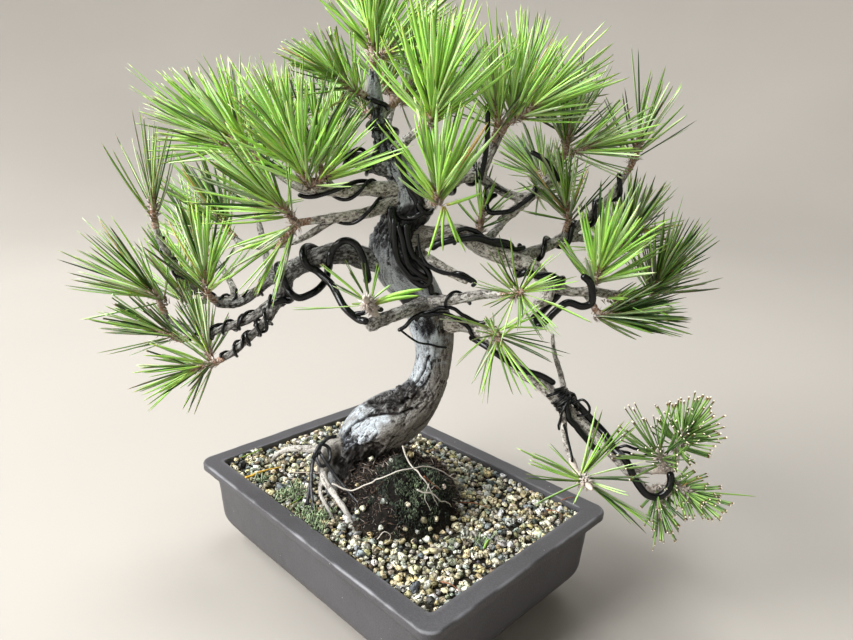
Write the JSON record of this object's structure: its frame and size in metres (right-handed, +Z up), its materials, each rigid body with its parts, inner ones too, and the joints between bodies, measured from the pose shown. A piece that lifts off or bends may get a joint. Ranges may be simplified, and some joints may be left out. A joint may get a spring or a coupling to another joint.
{
  "type": "bonsai pine tree in a pot",
  "caption": "Leaning pine tree with wired branches and tufts of needles, growing in gravel in a low rectangular clay pot with a flat lip and feet.",
  "frame": {"origin": "centre of the whole object's bounding box, on the surface that the pot stands on", "axes": "+Z up, X along the pot's long side, Y along its short side; the tree's front looks between +X and -Y"},
  "size_m": [0.396, 0.36, 0.4036],
  "materials": {
    "clay": "unglazed, matt",
    "gravel": "matt",
    "bark": "rough bark",
    "strap": "satin",
    "wire": "black anodised, satin",
    "needles": "waxy green needles"
  },
  "bodies": {
    "root": {"pot": "clay", "soil": "gravel", "tree_wood": "bark", "root_tie": "strap", "wire_left_main": "wire", "wire_left_loop": "wire", "wire_left_low": "wire", "wire_left_mid": "wire", "wire_left_back": "wire", "wire_hub": "wire", "wire_trunk": "wire", "wire_cut": "wire", "wire_right_main": "wire", "wire_lower": "wire", "wire_right_far": "wire", "wire_upper_hook": "wire", "wire_right_hook": "wire", "spray_left_low": "needles", "spray_left_mid": "needles", "spray_left_tip": "needles", "spray_left_front": "needles", "spray_left_inner": "needles", "spray_left_high": "needles", "spray_left_far": "needles", "spray_left_rear": "needles", "spray_left_hanging": "needles", "spray_shoulder": "needles", "spray_upper_left": "needles", "spray_upper_left_far": "needles", "spray_upper_one": "needles", "spray_upper_two": "needles", "spray_upper_three": "needles", "spray_rear_knob": "needles", "spray_rear_left": "needles", "spray_apex": "needles", "spray_apex_front": "needles", "spray_apex_right": "needles", "spray_apex_rear": "needles", "spray_apex_far": "needles", "spray_crown_front": "needles", "spray_hub_front": "needles", "spray_right_high": "needles", "spray_right_crown": "needles", "spray_right_crown_rear": "needles", "spray_right_up": "needles", "spray_right_up_rear": "needles", "spray_right_rear": "needles", "spray_right_far_high": "needles", "spray_right_far_twig": "needles", "spray_right_far_low": "needles", "spray_right_far_rear": "needles", "spray_right_front": "needles", "spray_right_drop": "needles", "spray_right_tip": "needles", "spray_front_right": "needles", "spray_lower_twig": "needles", "spray_cut_front": "needles", "spray_lower_fork": "needles", "spray_lower_high": "needles", "spray_lower_end": "needles"}
  },
  "joints": []
}
